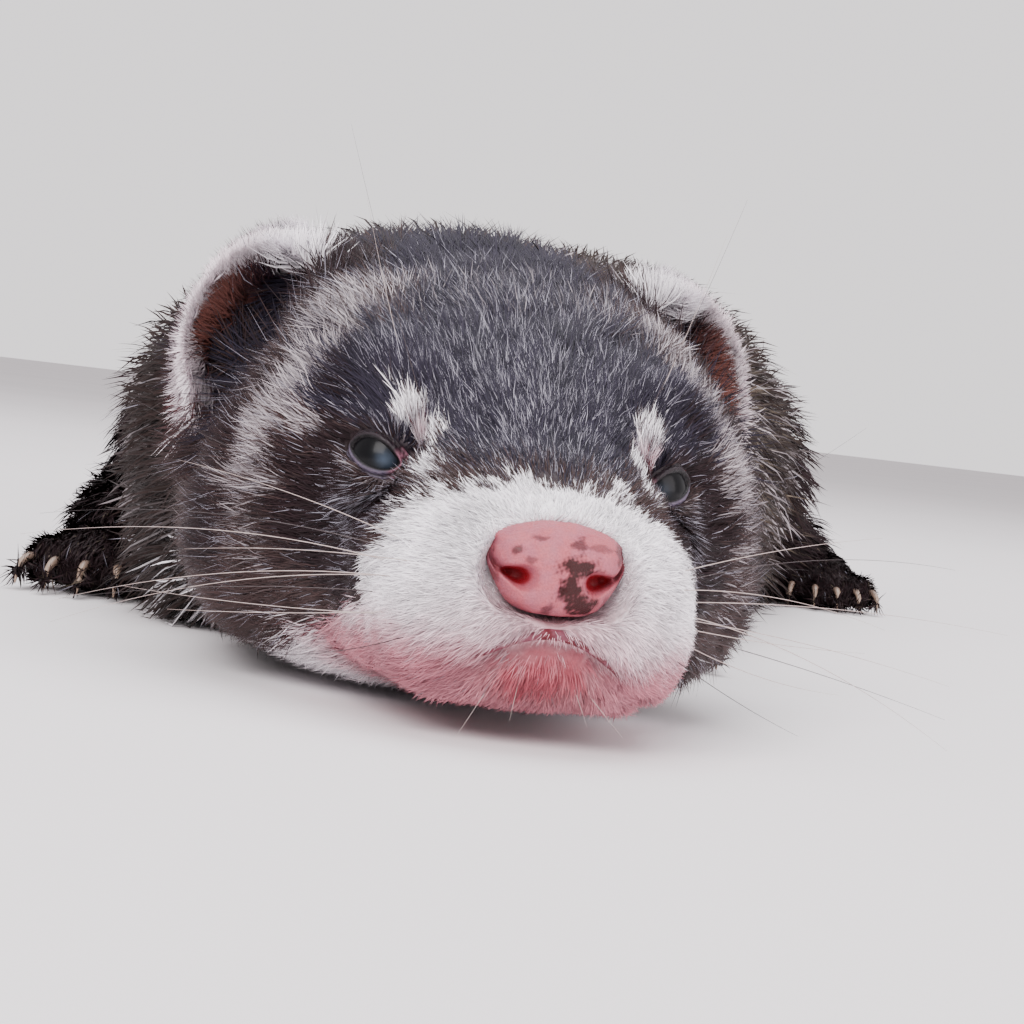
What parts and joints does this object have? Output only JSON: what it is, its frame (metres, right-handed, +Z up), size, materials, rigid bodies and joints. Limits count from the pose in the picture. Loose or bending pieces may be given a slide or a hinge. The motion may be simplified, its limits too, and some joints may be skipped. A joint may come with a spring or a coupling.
{
  "type": "ferret",
  "caption": "Young sable ferret at life size, lying stretched on its belly with its jaw on the ground, drowsy, with a white muzzle, dark eye mask and pink nose.",
  "frame": {"origin": "on the ground, below the middle of the animal's bounding box", "axes": "+Z up, -Y the way the face looks, +X towards the animal's left"},
  "size_m": [0.1482, 0.3956, 0.05],
  "materials": {
    "face_coat": "short soft fur, frosted grey-brown with a white muzzle",
    "body_coat": "sable fur, cream under-coat with dark brown guard hairs",
    "dark_coat": "dark brown fur",
    "ear_coat": "very short fur, cream on the rim and dark in the cup",
    "nose_skin": "bare moist skin, pink with brown blotches",
    "eye": "polished, wet"
  },
  "bodies": {
    "root": {"head": "face_coat", "nose": "nose_skin", "eye_left": "eye", "eye_right": "eye", "ear_left": "ear_coat", "ear_right": "ear_coat", "neck": "body_coat", "chest": "body_coat", "belly": "body_coat", "rump": "body_coat", "tail_base": "dark_coat", "tail_tip": "dark_coat", "foreleg_left": "dark_coat", "foreleg_right": "dark_coat", "forepaw_left": "dark_coat", "forepaw_right": "dark_coat", "hindleg_left": "dark_coat", "hindleg_right": "dark_coat", "hindpaw_left": "dark_coat", "hindpaw_right": "dark_coat"}
  },
  "joints": []
}
